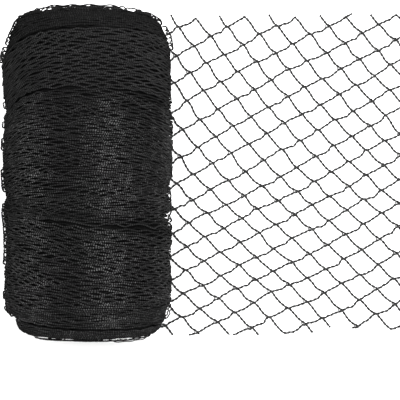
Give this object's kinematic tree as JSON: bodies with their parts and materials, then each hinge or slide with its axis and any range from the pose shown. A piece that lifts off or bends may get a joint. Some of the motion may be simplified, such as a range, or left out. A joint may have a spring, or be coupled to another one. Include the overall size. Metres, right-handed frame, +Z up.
{
  "type": "roll of bird netting with a loose end",
  "caption": "Roll of black knitted bird netting lying on its side, with its open diamond-mesh loose end spread flat beside it.",
  "frame": {"origin": "centre of the bounding box, on the floor that the roll and its loose end lie on", "axes": "+X from the roll towards the cut edge of the loose end; Y along the roll's axis; +Z up"},
  "size_m": [0.384, 0.306, 0.1498],
  "materials": {
    "wound_netting": "knitted black polyethylene net wound in many layers, matt with a faint sheen on the strands",
    "knitted_strand": "knitted black polyethylene strand, satin"
  },
  "bodies": {
    "root": {"net_roll": "wound_netting", "loose_net": "knitted_strand"}
  },
  "joints": []
}
